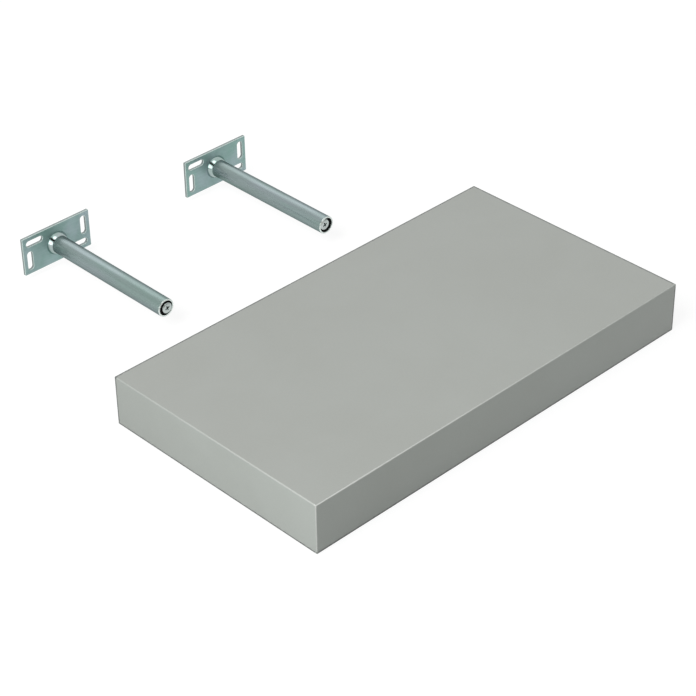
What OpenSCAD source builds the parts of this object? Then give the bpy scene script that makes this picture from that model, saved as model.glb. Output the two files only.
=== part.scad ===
// Floating wall shelf: a hollow-core board that slides onto two concealed rod brackets.
// X runs along the shelf, +Y points into the wall, +Z is up. The origin is on the wall
// plane, midway between the two rods, at the height of their axes.

/* [Board] */
// Length of the board along the wall
board_length = 450; // [380:10:900]
// Depth of the board, from its back face to its front face
board_depth = 250; // [230:5:320]
// Thickness of the board
board_thickness = 50; // [48:1:70]
// Thickness of the top and bottom skins
skin_t = 3; // [2:0.5:4]
// Thickness of the edge bands
band_t = 1; // [0.5:0.1:2]
// Depth of the front rail
front_rail_w = 32; // [20:1:50]
// Depth of the back rail
back_rail_w = 46; // [35:1:60]
// Width of the two end rails
end_rail_w = 32; // [20:1:45]
// Distance from the wall to the back of the board when it is pulled off
pull_off = 243; // [200:1:300]

/* [Core] */
// Width of one honeycomb cell across its flats
cell_w = 36; // [28:1:39]
// Thickness of the honeycomb paper
paper_t = 0.8; // [0.5:0.1:1.5]

/* [Rod blocks] */
// Width of the block that guides each rod
block_w = 56; // [40:1:80]
// Solid wood left beyond the end of each bore
block_end = 12; // [6:1:25]

/* [Wall plate] */
// Distance between the two rods
rod_spacing = 203; // [160:1:240]
// Width of the wall plate
plate_w = 80; // [70:1:100]
// Height of the wall plate
plate_h = 40; // [38:0.5:41]
// Thickness of the wall plate
plate_t = 3; // [2.5:0.5:6]
// Corner radius of the wall plate
plate_corner_r = 1; // [0.5:0.5:5]
// Width of each screw slot
slot_w = 6.3; // [5:0.1:8.5]
// Length of each screw slot, end to end
slot_l = 19.5; // [14:0.5:22]
// Material left between a slot and the edge of the plate
slot_margin = 4.4; // [3:0.1:5]

/* [Rod] */
// Outer diameter of the tube
tube_d = 18; // [17.8:0.1:20]
// Wall of the tube
tube_wall = 1.5; // [1.3:0.1:1.6]
// Distance from the wall to the tip of the tube
tube_reach = 164; // [140:1:180]
// Chamfer round the outside of the tube's tip
tube_chamfer = 0.8; // [0.2:0.1:0.9]
// Outer diameter of the collar at the foot of the tube
collar_d = 24; // [23:0.5:28]
// Height of the collar above the plate
collar_t = 3.4; // [2.5:0.1:5]
// Radius of the collar's rounded outer edge
collar_round = 1.8; // [0.4:0.1:2]
// Width of the round lip that rises from the collar against the tube
lip_w = 1; // [0.5:0.1:1.4]
// Height of that lip above the collar
lip_t = 1.6; // [1.4:0.1:2.5]

/* [Tie screw] */
// Diameter of the shank
screw_d = 8; // [6:0.5:8.5]
// Diameter of the head
head_d = 11; // [9.5:0.1:11.2]
// Height of the head
head_t = 5; // [4:0.5:7]
// Chamfer around the head
head_chamfer = 0.6; // [0.3:0.1:1.2]
// How far the head lies inside the tip of the tube
head_inset = 0.2; // [0.1:0.1:2]
// Offset of the screw from the axis of the tube
eccentricity = 1.9; // [0:0.05:1.95]
// Direction of that offset on the left bracket, in degrees above +X
eccentric_angle = -32; // [-180:1:180]
// Length of each arm of the cross recess, from tip to tip
cross_l = 5; // [4:0.1:7.4]
// Width of each arm of the cross recess
cross_w = 1.4; // [1:0.1:2.5]
// Depth of the cross recess
cross_depth = 2.8; // [1.5:0.1:3.5]
// Turn of the cross recess from the X axis
cross_turn = 20; // [0:5:85]
// Length of the shank that is screwed into the anchor boss
thread_grip = 18; // [12:1:22]

/* [Bracket inner pieces] */
// Length of the anchor boss inside the foot of the tube
boss_l = 26; // [25:1:40]
// Diameter of the boss's spigot, riveted through the plate
spigot_d = 10; // [6:0.5:12]
// Length of the bush in the mouth of the tube
bush_l = 20; // [12:1:30]
// How far the face of the bush lies inside the tip of the tube
bush_inset = 1; // [0.5:0.1:3]

/* [Fits] */
// Clearance all round between a tube and its bore in the board
tube_clearance = 0.1; // [0.05:0.01:0.1]
// Clearance all round between a plate or collar and its recess in the board
recess_clearance = 0.5; // [0.3:0.1:0.8]
// Spare depth behind a plate, a collar and the tip of a tube in the board
depth_spare = 0.6; // [0.3:0.1:2]
// Clearance all round between the tie screw and what it turns in
screw_clearance = 0.05; // [0.02:0.01:0.1]
// Clearance all round between the screw's head and its seat, which opens through the bush's side
seat_clearance = 0.3; // [0.25:0.05:0.5]

/* [Staples] */
// Width of a staple's crown
staple_crown = 12; // [8:1:16]
// Length of a staple's legs
staple_leg = 14; // [8:1:18]
// Thickness of the staple wire
staple_wire = 1.2; // [0.8:0.1:1.6]

/* [Hidden] */
$fn = 64;

LEFT = -1;
RIGHT = 1;
SIDES = [LEFT, RIGHT];
// How far a cutting shape runs past the face that it cuts
past = 1;

foil = [0.68, 0.69, 0.67];
hdf = [0.55, 0.42, 0.30];
chipboard = [0.76, 0.64, 0.45];
solid_wood = [0.80, 0.66, 0.44];
kraft = [0.72, 0.58, 0.40];
zinc = [0.56, 0.61, 0.61];
black = [0.05, 0.05, 0.05];
bright_steel = [0.78, 0.80, 0.80];

// Board sizes that follow from the ones above
inner_h = board_thickness - 2 * skin_t;
inner_l = board_length - 2 * band_t;
inner_d = board_depth - 2 * band_t;
back_rail_front = band_t + back_rail_w;
front_rail_back = board_depth - band_t - front_rail_w;
cavity_l = inner_l - 2 * end_rail_w;
cavity_d = front_rail_back - back_rail_front;
bore_d = tube_d + 2 * tube_clearance;
bore_depth = tube_reach + depth_spare;
block_front = bore_depth + block_end;

// Bracket sizes that follow from the ones above
tube_inner_d = tube_d - 2 * tube_wall;
head_face = tube_reach - head_inset;
head_seat = head_face - head_t;
boss_front = plate_t + boss_l;
screw_end = boss_front - thread_grip;
thread_bore_spare = 2;

// Places a piece of the board, whose back face lies at y = 0 here
module on_board() {
    translate([0, -pull_off, 0]) children();
}

// A box given by the middle of its length, the depths of its back and front faces
// behind the back of the board, and its lowest and highest level
module slab(mid_x, length, from_depth, to_depth, low, high) {
    translate([mid_x - length / 2, -to_depth, low])
        cube([length, to_depth - from_depth, high - low]);
}

// A round bar along the rod's axis, between two distances from the wall
module bar(from_depth, to_depth, d) {
    translate([0, -from_depth, 0]) rotate([90, 0, 0]) cylinder(d = d, h = to_depth - from_depth);
}

// Places a piece of one bracket. The right bracket is the left one turned half a turn.
module on_bracket(side) {
    translate([side * rod_spacing / 2, 0, 0])
        rotate([0, side == RIGHT ? 180 : 0, 0]) children();
}

// Shifts a piece from the axis of the tube to the axis of the tie screw
module on_screw_axis() {
    translate([eccentricity * cos(eccentric_angle), 0, eccentricity * sin(eccentric_angle)])
        children();
}

// A profile of radius against distance from the wall, turned about the rod's axis
module turned(from_depth) {
    translate([0, -from_depth, 0]) rotate([90, 0, 0]) rotate_extrude() children();
}

// Board

module skin(side) {
    outer = side * board_thickness / 2;
    inner = side * inner_h / 2;
    color(foil) on_board()
        slab(0, inner_l, band_t, band_t + inner_d, min(outer, inner), max(outer, inner));
}

module end_band(side) {
    color(foil) on_board()
        slab(side * (board_length - band_t) / 2, band_t, band_t, band_t + inner_d,
             -board_thickness / 2, board_thickness / 2);
}

module front_edge_band() {
    color(foil) on_board()
        slab(0, board_length, board_depth - band_t, board_depth,
             -board_thickness / 2, board_thickness / 2);
}

module back_edge_band() {
    color(foil) on_board() difference() {
        slab(0, board_length, 0, band_t, -board_thickness / 2, board_thickness / 2);
        for (side = SIDES) plate_pocket(side);
    }
}

// The recess in the back of the board that a wall plate sinks into
module plate_pocket(side) {
    slab(side * rod_spacing / 2, plate_w + 2 * recess_clearance, -past, plate_t + depth_spare,
         -plate_h / 2 - recess_clearance, plate_h / 2 + recess_clearance);
}

// The recess for the collar and the bore for the tube
module rod_bore(side) {
    translate([side * rod_spacing / 2, 0, 0]) {
        bar(-past, plate_t + collar_t + lip_t + depth_spare, collar_d + 2 * recess_clearance);
        bar(-past, bore_depth, bore_d);
    }
}

module front_rail() {
    color(chipboard) on_board() difference() {
        slab(0, inner_l, front_rail_back, board_depth - band_t, -inner_h / 2, inner_h / 2);
        staples();
    }
}

module back_rail() {
    color(chipboard) on_board() difference() {
        slab(0, inner_l, band_t, back_rail_front, -inner_h / 2, inner_h / 2);
        for (side = SIDES) {
            plate_pocket(side);
            rod_bore(side);
        }
        staples();
    }
}

module end_rail(side) {
    color(chipboard) on_board() difference() {
        slab(side * (inner_l - end_rail_w) / 2, end_rail_w, back_rail_front, front_rail_back,
             -inner_h / 2, inner_h / 2);
        staples();
    }
}

module rod_block(side) {
    color(solid_wood) on_board() difference() {
        slab(side * rod_spacing / 2, block_w, back_rail_front, block_front,
             -inner_h / 2, inner_h / 2);
        rod_bore(side);
    }
}

// One staple with its crown flush with the rails and across the joint at y = -depth
module staple(mid_x, depth, level) {
    leg_gap = staple_crown / 2 - staple_wire;
    crown_low = level > 0 ? level - staple_wire : level;
    leg_low = level > 0 ? level - staple_leg : level;
    slab(mid_x, staple_wire, depth - staple_crown / 2, depth + staple_crown / 2,
         crown_low, crown_low + staple_wire);
    for (start = [depth - staple_crown / 2, depth + leg_gap])
        slab(mid_x, staple_wire, start, start + staple_wire, leg_low, leg_low + staple_leg);
}

// One staple above and one below at each corner of the frame
module staples() {
    for (side = SIDES, depth = [back_rail_front, front_rail_back], up = [-1, 1])
        staple(side * (inner_l - end_rail_w) / 2, depth, up * inner_h / 2);
}

module frame_staples() {
    color(bright_steel) on_board() staples();
}

// The space between the rails, less the two rod blocks, drawn in by the given amount
module core_outline(inset) {
    difference() {
        translate([-cavity_l / 2 + inset, -front_rail_back + inset])
            square([cavity_l - 2 * inset, cavity_d - 2 * inset]);
        for (side = SIDES)
            translate([side * rod_spacing / 2 - block_w / 2 - inset, -block_front - inset])
                square([block_w + 2 * inset, block_front]);
    }
}

// Paper honeycomb: rows of hexagonal cells with a wall of paper between them
module honeycomb_core() {
    pitch = cell_w + paper_t;
    step_x = pitch * cos(30);
    columns = ceil(cavity_l / step_x / 2);
    rows = ceil(cavity_d / pitch / 2);
    middle = -(back_rail_front + front_rail_back) / 2;
    color(kraft) on_board() translate([0, 0, -inner_h / 2]) linear_extrude(inner_h)
        difference() {
            core_outline(0);
            intersection() {
                core_outline(paper_t);
                for (i = [-columns:columns], j = [-rows:rows])
                    translate([i * step_x, middle + (j + (i % 2 == 0 ? 0 : 0.5)) * pitch])
                        circle(d = cell_w / cos(30), $fn = 6);
            }
        }
}

// Bracket

module rounded_plate(w, h, r) {
    square([w - 2 * r, h], center = true);
    square([w, h - 2 * r], center = true);
    for (x = [-1, 1], y = [-1, 1]) translate([x * (w / 2 - r), y * (h / 2 - r)]) circle(r);
}

module slot_outline(length, width) {
    square([length - width, width], center = true);
    for (end = [-1, 1]) translate([end * (length - width) / 2, 0]) circle(d = width);
}

// Two long and two tall slots, alike when the plate is turned half a turn
module plate_slots() {
    long_x = plate_w / 2 - slot_margin - slot_l / 2;
    long_y = plate_h / 2 - slot_margin - slot_w / 2;
    tall_x = plate_w / 2 - slot_margin - slot_w / 2;
    tall_y = plate_h / 2 - slot_margin - slot_l / 2;
    for (turn = [0, 180]) rotate(turn) {
        translate([-long_x, long_y]) slot_outline(slot_l, slot_w);
        translate([tall_x, tall_y]) rotate(90) slot_outline(slot_l, slot_w);
    }
}

module wall_plate(side) {
    color(zinc) on_bracket(side) rotate([90, 0, 0]) linear_extrude(plate_t)
        difference() {
            rounded_plate(plate_w, plate_h, plate_corner_r);
            plate_slots();
            circle(d = spigot_d);
        }
}

module quarter_disc(r) {
    intersection() {
        circle(r);
        square(r);
    }
}

// Ring with a rounded outer edge and a round lip against the tube, seated on the plate
module collar(side) {
    inner_r = tube_d / 2;
    outer_r = collar_d / 2;
    lip_middle = collar_t + lip_t - lip_w;
    color(zinc) on_bracket(side) turned(plate_t) {
        translate([inner_r, 0]) square([outer_r - inner_r, collar_t - collar_round]);
        translate([inner_r, 0]) square([outer_r - inner_r - collar_round, collar_t]);
        translate([outer_r - collar_round, collar_t - collar_round]) quarter_disc(collar_round);
        translate([inner_r, 0]) square([lip_w, lip_middle]);
        translate([inner_r, lip_middle]) quarter_disc(lip_w);
    }
}

module tube(side) {
    outer_r = tube_d / 2;
    inner_r = tube_inner_d / 2;
    length = tube_reach - plate_t;
    inner_chamfer = tube_chamfer / 3;
    color(zinc) on_bracket(side) turned(plate_t)
        polygon([
            [inner_r, 0], [outer_r, 0], [outer_r, length - tube_chamfer],
            [outer_r - tube_chamfer, length], [inner_r + inner_chamfer, length],
            [inner_r, length - inner_chamfer]
        ]);
}

// Steel boss that holds the foot of the tube and takes the thread of the tie screw
module anchor_boss(side) {
    color(zinc) on_bracket(side) difference() {
        union() {
            bar(0, plate_t, spigot_d);
            bar(plate_t, boss_front, tube_inner_d);
        }
        on_screw_axis()
            bar(screw_end - thread_bore_spare, boss_front + past, screw_d + 2 * screw_clearance);
    }
}

// Bush in the mouth of the tube, whose seat and bore for the tie screw lie off centre
module end_bush(side) {
    color(black) on_bracket(side) difference() {
        bar(tube_reach - bush_inset - bush_l, tube_reach - bush_inset, tube_inner_d);
        on_screw_axis() {
            bar(head_seat, tube_reach, head_d + 2 * seat_clearance);
            bar(tube_reach - bush_inset - bush_l - past, tube_reach, screw_d + 2 * screw_clearance);
        }
    }
}

// Long screw that draws the tube onto the anchor boss
module tie_screw(side) {
    head_r = head_d / 2;
    color(bright_steel) on_bracket(side) on_screw_axis() difference() {
        union() {
            bar(screw_end, head_seat, screw_d);
            turned(head_seat)
                polygon([
                    [0, 0], [head_r, 0], [head_r, head_t - head_chamfer],
                    [head_r - head_chamfer, head_t], [0, head_t]
                ]);
        }
        for (turn = [0, 90]) rotate([0, turn - cross_turn, 0])
            slab(0, cross_l, head_face - cross_depth, head_face + past, -cross_w / 2, cross_w / 2);
    }
}

skin(1);  // top_skin
skin(-1);  // bottom_skin
front_rail();
back_rail();
end_rail(LEFT);  // left_end_rail
end_rail(RIGHT);  // right_end_rail
rod_block(LEFT);  // left_rod_block
rod_block(RIGHT);  // right_rod_block
honeycomb_core();
frame_staples();
front_edge_band();
back_edge_band();
end_band(LEFT);  // left_edge_band
end_band(RIGHT);  // right_edge_band
wall_plate(LEFT);  // left_wall_plate
collar(LEFT);  // left_collar
tube(LEFT);  // left_tube
anchor_boss(LEFT);  // left_anchor_boss
end_bush(LEFT);  // left_end_bush
tie_screw(LEFT);  // left_tie_screw
wall_plate(RIGHT);  // right_wall_plate
collar(RIGHT);  // right_collar
tube(RIGHT);  // right_tube
anchor_boss(RIGHT);  // right_anchor_boss
end_bush(RIGHT);  // right_end_bush
tie_screw(RIGHT);  // right_tie_screw
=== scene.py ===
"""Looks of a floating wall shelf: a foil-covered board pulled off its two rod brackets.

Everything is in metres in the part's own frame: X along the shelf, +Y into the wall, +Z up.
The origin is on the wall plane, midway between the two rods.
"""

import math

import bmesh
import bpy
from mathutils import Matrix, Vector


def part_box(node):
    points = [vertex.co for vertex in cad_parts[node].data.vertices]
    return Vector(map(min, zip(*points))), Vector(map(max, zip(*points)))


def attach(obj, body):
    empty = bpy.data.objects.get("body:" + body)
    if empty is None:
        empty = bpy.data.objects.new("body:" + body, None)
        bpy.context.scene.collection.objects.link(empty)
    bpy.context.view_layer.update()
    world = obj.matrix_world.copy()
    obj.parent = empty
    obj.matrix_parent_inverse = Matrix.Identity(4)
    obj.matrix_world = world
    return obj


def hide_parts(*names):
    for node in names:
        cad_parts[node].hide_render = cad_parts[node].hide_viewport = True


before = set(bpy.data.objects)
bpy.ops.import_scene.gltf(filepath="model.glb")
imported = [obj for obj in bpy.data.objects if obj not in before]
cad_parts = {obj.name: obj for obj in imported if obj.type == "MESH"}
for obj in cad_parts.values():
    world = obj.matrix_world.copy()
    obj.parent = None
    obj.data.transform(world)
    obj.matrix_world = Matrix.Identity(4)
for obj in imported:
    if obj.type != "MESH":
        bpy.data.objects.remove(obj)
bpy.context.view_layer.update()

MM = 0.001
LEFT = -1
RIGHT = 1
SIDE_NAMES = {LEFT: "left", RIGHT: "right"}

# Meshes: points closer than this are one, and edges turned by more than these degrees are sharp
SAME_POINT = 1e-7
SHARP_ANGLE = 32.0
TURNED_STEPS = 144
# How far a cutter reaches past what it cuts
CUTTER_PAST = 1.0 * MM

# Camera, fitted to the corners of the board and of the wall plates
PICTURE_PIXELS = 696
CAMERA_AZIMUTH = -43.74
CAMERA_ELEVATION = 34.68
CAMERA_ROLL = -0.92
CAMERA_DISTANCE = 1954.8 * MM
CAMERA_RIGHT = -48.75 * MM
CAMERA_UP = 3.87 * MM
FOCAL_PIXELS = 2206.3
SENSOR_WIDTH = 36.0
CLIP_START = 0.05
CLIP_END = 30.0

# Light
SOFTBOX_DIRECTION = (-0.69, -0.01, 0.72)
SOFTBOX_DISTANCE = 5.0
SOFTBOX_DIAMETER = 3.4
SOFTBOX_POWER = 178.0
AMBIENT = 0.45
FLOOR_SIZE = 6.0
FLOOR_ALBEDO = 0.58
FLOOR_GLOW = 0.86
FLOOR_SHADE = 0.2
FLOOR_GAP = 0.2 * MM

# What metal shows of the studio: brighter cones of light as (direction, half angle at the edge
# and where it is full, gain), and the dark gap between two of them, in which the camera stands
STUDIO_LIGHTS = (
    ((0.34, 0.60, 0.72), 30.0, 8.0, 1.0),
    ((-0.97, -0.10, 0.06), 34.0, 20.0, 2.2),
    ((-0.26, -0.40, 0.88), 19.0, 10.0, 2.2),
)
GAP_DIRECTION = (-0.52, -0.68, 0.51)
GAP_SIDE = (0.73, 0.0, 0.68)
GAP_REACH = (55.0, 42.0)
GAP_WIDTH = (13.5, 9.0)
GAP_LEVEL = 0.03

# Sizes that the part's source has too
RECESS_CLEARANCE = 0.5 * MM
PLATE_CORNER = 1.0 * MM
SLOT_WIDTH = 6.3 * MM
SLOT_LENGTH = 19.5 * MM
SLOT_MARGIN = 4.4 * MM
SPIGOT_DIAMETER = 10.0 * MM
TUBE_WALL = 1.5 * MM
TUBE_TIP_ROUND = 0.8 * MM
HEAD_HEIGHT = 5.0 * MM
SHANK_DIAMETER = 8.0 * MM
CROSS_LENGTH = 5.0 * MM
CROSS_WIDTH = 1.4 * MM
CROSS_DEPTH = 2.8 * MM
CROSS_TURN = 20.0
STAPLE_CROWN = 12.0 * MM
STAPLE_LEG = 14.0 * MM
STAPLE_WIRE = 1.2 * MM

# Roundings that only the scene has, and how far in from an edge of the board it wears
ARRIS_RADIUS = 0.8 * MM
EDGE_REACH = 2.6 * MM
PLATE_EDGE_ROUND = 0.5 * MM
TUBE_MOUTH_ROUND = 0.2 * MM
SHANK_END_ROUND = 0.6 * MM
HEAD_BACK_ROUND = 0.15 * MM
STAPLE_BEND = 0.9 * MM
# How round the staples' wire is, as a share of its width
WIRE_ROUND = 0.3
# The front rim of a screw's head: how far in from its side, and how far down from its face
HEAD_RIM = ((0.0, 0.6 * MM), (0.12 * MM, 0.35 * MM), (0.4 * MM, 0.08 * MM), (0.6 * MM, 0.0))
# What the cross narrows to at its bottom, as a share of its length and of its width
CROSS_FOOT = (0.55, 0.75)
# The collar: a low wall on the plate, then a crowned flank that leans forwards by these degrees
# from the plate to the tube, then a rounded top
COLLAR_WALL = 0.3 * MM
COLLAR_CROWN = 14.3 * MM
COLLAR_LEAN_FOOT = 18.0
COLLAR_LEAN_TOP = 38.0
COLLAR_TOP_ROUND = 0.8 * MM
# How deep the bare cut at the tip of a tube goes, how sharply it begins and how uneven it is; its
# light tone is also a painted highlight on the rim
TUBE_TIP_CUT = 0.45 * MM
TUBE_CUT_FADE = (-0.05 * MM, 0.1 * MM)
TUBE_CUT_WAVER = 0.1 * MM

# Directions along a turned profile, in degrees
OUTWARDS = 0.0
FORWARDS = 90.0
INWARDS = 180.0

# Steps of the curves that are drawn point by point
CORNER_STEPS = 8
SLOT_END_STEPS = 14
HOLE_STEPS = 18
PLATE_ROUND_STEPS = 2
CROWN_STEPS = 12
COLLAR_TOP_STEPS = 8
TUBE_TIP_STEPS = 6
TUBE_MOUTH_STEPS = 3
STAPLE_BEND_STEPS = 6
WIRE_ROUND_STEPS = 3
# Half of the straight stretch that stays between the two corners of a round end
CORNER_GAP = 1e-6

collection = bpy.context.scene.collection


# Mesh making


def piece_from(bm, name):
    """An object from an edit mesh, shaded smooth up to sharp corners."""
    bmesh.ops.recalc_face_normals(bm, faces=bm.faces[:])
    mesh = bpy.data.meshes.new(name)
    bm.to_mesh(mesh)
    bm.free()
    shade_by_angle(mesh)
    made = bpy.data.objects.new(name, mesh)
    collection.objects.link(made)
    return made


def shade_by_angle(mesh):
    mesh.polygons.foreach_set("use_smooth", [True] * len(mesh.polygons))
    mesh.set_sharp_from_angle(angle=math.radians(SHARP_ANGLE))


def bake_modifiers(made):
    """Turns an object's modifiers into plain mesh."""
    graph = bpy.context.evaluated_depsgraph_get()
    mesh = bpy.data.meshes.new_from_object(made.evaluated_get(graph))
    made.modifiers.clear()
    old = made.data
    made.data = mesh
    mesh.name = made.name
    bpy.data.meshes.remove(old)
    shade_by_angle(mesh)


def cut_from(made, cutters):
    """Takes the cutters' shapes out of a piece, then removes the cutters."""
    for cutter in cutters:
        step = made.modifiers.new("cut", "BOOLEAN")
        step.operation = "DIFFERENCE"
        step.solver = "EXACT"
        step.object = cutter
    bake_modifiers(made)
    for cutter in cutters:
        bpy.data.objects.remove(cutter)


def box_mesh(low, high):
    bm = bmesh.new()
    bmesh.ops.create_cube(bm, size=1.0)
    size = high - low
    bmesh.ops.scale(bm, vec=size, verts=bm.verts[:])
    bmesh.ops.translate(bm, vec=(low + high) / 2, verts=bm.verts[:])
    return bm


def trim(bm, point, normal):
    """Removes what lies on the normal's side of a plane and closes the cut."""
    everything = bm.verts[:] + bm.edges[:] + bm.faces[:]
    cut = bmesh.ops.bisect_plane(
        bm, geom=everything, plane_co=point, plane_no=normal, clear_outer=True
    )
    rim = [part for part in cut["geom_cut"] if isinstance(part, bmesh.types.BMEdge)]
    bmesh.ops.edgeloop_fill(bm, edges=rim)


def arc(centre_radius, centre_depth, radius, start, end, steps):
    """Points of (radius, depth) along an arc, angles in degrees from outwards to forwards."""
    points = []
    for step in range(steps + 1):
        angle = math.radians(start + (end - start) * step / steps)
        points.append(
            (
                centre_radius + radius * math.cos(angle),
                centre_depth + radius * math.sin(angle),
            )
        )
    return points


def turned_piece(name, profile, axis_x, axis_z):
    """A closed profile of (radius, distance from the wall), turned about a line along Y."""
    bm = bmesh.new()
    rings = []
    for step in range(TURNED_STEPS):
        angle = 2 * math.pi * step / TURNED_STEPS
        across, up = math.cos(angle), math.sin(angle)
        rings.append(
            [bm.verts.new((axis_x + r * across, -depth, axis_z + r * up)) for r, depth in profile]
        )
    for here, there in zip(rings, rings[1:] + rings[:1]):
        for i in range(len(profile)):
            j = (i + 1) % len(profile)
            bm.faces.new((here[i], here[j], there[j], there[i]))
    bmesh.ops.remove_doubles(bm, verts=bm.verts[:], dist=SAME_POINT)
    bmesh.ops.dissolve_degenerate(bm, edges=bm.edges[:], dist=SAME_POINT)
    return piece_from(bm, name)


def give_finish(made, material):
    made.data.materials.clear()
    made.data.materials.append(material)


def settle(made, material, body, slot, *nodes):
    """Gives a piece its finish, the body that it rides on and the nodes that it stands for."""
    give_finish(made, material)
    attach(made, body)
    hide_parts(*nodes)


# Node making


# The Mix node's sockets when it mixes colours
MIX_FACTOR = 0
MIX_FIRST = 6
MIX_SECOND = 7
MIX_RESULT = 2

# A mask's range, the same turned round, and what plain noise mostly keeps to
WHOLE = (0.0, 1.0)
FALLING = (1.0, 0.0)
NOISE_SPAN = (0.3, 0.7)


def add_node(tree, kind, inputs=None, **settings):
    """A node with its settings, and its inputs linked or set."""
    made = tree.nodes.new(kind)
    for key, value in settings.items():
        setattr(made, key, value)
    for key, value in (inputs or {}).items():
        if isinstance(value, bpy.types.NodeSocket):
            tree.links.new(value, made.inputs[key])
        else:
            made.inputs[key].default_value = value
    return made


def sums(tree, operation, first, second=None, third=None):
    inputs = {i: v for i, v in enumerate((first, second, third)) if v is not None}
    return add_node(tree, "ShaderNodeMath", inputs, operation=operation).outputs[0]


def vector_sums(tree, operation, first, second=None, output="Vector"):
    inputs = {i: v for i, v in enumerate((first, second)) if v is not None}
    return add_node(tree, "ShaderNodeVectorMath", inputs, operation=operation).outputs[output]


def dot(tree, first, second):
    return vector_sums(tree, "DOT_PRODUCT", first, second, output="Value")


def axes_of(tree, vector):
    """A vector's X, Y and Z."""
    return add_node(tree, "ShaderNodeSeparateXYZ", {0: vector}).outputs


def remap(tree, value, span, target=WHOLE):
    """A value moved from one range to another, held at its ends."""
    inputs = {
        "Value": value,
        "From Min": span[0],
        "From Max": span[1],
        "To Min": target[0],
        "To Max": target[1],
    }
    return add_node(tree, "ShaderNodeMapRange", inputs, clamp=True).outputs["Result"]


def blend_colours(tree, factor, first, second, mode="MIX"):
    inputs = {MIX_FACTOR: factor, MIX_FIRST: first, MIX_SECOND: second}
    made = add_node(tree, "ShaderNodeMix", inputs, data_type="RGBA", blend_type=mode)
    return made.outputs[MIX_RESULT]


def dimmed(tree, tone, level):
    """A colour times a level."""
    shade = add_node(tree, "ShaderNodeCombineColor", {0: level, 1: level, 2: level}).outputs[0]
    return blend_colours(tree, 1.0, tone, shade, "MULTIPLY")


def colour(red, green, blue):
    return (red, green, blue, 1.0)


def grey(level):
    return colour(level, level, level)


def clear_nodes(owner):
    """The empty node tree of a material or a world."""
    owner.use_nodes = True
    owner.node_tree.nodes.clear()
    return owner.node_tree


def new_group(name, inputs, outputs):
    """A shader node group with named sockets. Returns the tree, its inputs and its output node."""
    tree = bpy.data.node_groups.new(name, "ShaderNodeTree")
    kinds = {"float": "NodeSocketFloat", "vector": "NodeSocketVector", "colour": "NodeSocketColor"}
    for label, kind, value in inputs:
        socket = tree.interface.new_socket(name=label, in_out="INPUT", socket_type=kinds[kind])
        if value is not None:
            socket.default_value = value
    for label, kind in outputs:
        tree.interface.new_socket(name=label, in_out="OUTPUT", socket_type=kinds[kind])
    return tree, tree.nodes.new("NodeGroupInput").outputs, tree.nodes.new("NodeGroupOutput").inputs


def use_group(tree, group, inputs):
    return add_node(tree, "ShaderNodeGroup", inputs, node_tree=group).outputs


def soft_clouds(tree, vector, settings):
    return use_group(tree, CLOUDS, {"Vector": vector, **settings})["Mask"]


def noise(tree, vector, scale, detail=3.0, roughness=0.55, distortion=0.0):
    inputs = {
        "Vector": vector,
        "Scale": scale,
        "Detail": detail,
        "Roughness": roughness,
        "Distortion": distortion,
    }
    return add_node(tree, "ShaderNodeTexNoise", inputs).outputs["Fac"]


def drawn_noise(tree, vector, scales, detail=3.0):
    """Noise with a scale of its own along each axis."""
    return noise(tree, vector_sums(tree, "MULTIPLY", vector, scales), 1.0, detail)


# Patterns that several finishes share. Scales are per metre.


def make_clouds_group():
    """Soft uneven patches, which may be drawn out along an axis."""
    tree, given, out = new_group(
        "soft_clouds",
        [("Vector", "vector", None), ("Stretch", "vector", (1, 1, 1)), ("Scale", "float", 20.0),
         ("Detail", "float", 4.0), ("Low", "float", 0.35), ("High", "float", 0.65)],
        [("Mask", "float")],
    )
    stretched = vector_sums(tree, "MULTIPLY", given["Vector"], given["Stretch"])
    cloud = noise(
        tree, stretched, given["Scale"], given["Detail"], roughness=0.6, distortion=0.3
    )
    mask = add_node(
        tree,
        "ShaderNodeMapRange",
        {"Value": cloud, "From Min": given["Low"], "From Max": given["High"]},
        interpolation_type="SMOOTHSTEP",
    )
    tree.links.new(mask.outputs["Result"], out["Mask"])
    return tree


# The painted edge strips, a painted highlight and a painted shade line: how uneven their width is,
# and where across it they fade out
WAVER_SCALE = 260.0
WAVER = (0.85, 1.15)
STRIP_FADE = (0.6, 1.0)
# How far an edge must be turned to the highlight side to get the painted highlight, and may be to
# get the painted shade line
HIGHLIGHT_TURN = (1.0, 1.8)
SHADE_LINE_TURN = (0.5, 0.9)
# How much stronger the painted highlight is towards the highlight side, by the distance from the
# middle towards it
HIGHLIGHT_CORNER_REACH = (0.0, 0.26)
HIGHLIGHT_CORNER_SHARE = (0.3, 1.0)
# How much weaker the painted shade line is at the top than at the bottom
SHADE_LINE_HEIGHT = (-0.02, 0.02)
SHADE_LINE_SHARE = (1.0, 0.85)


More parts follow.
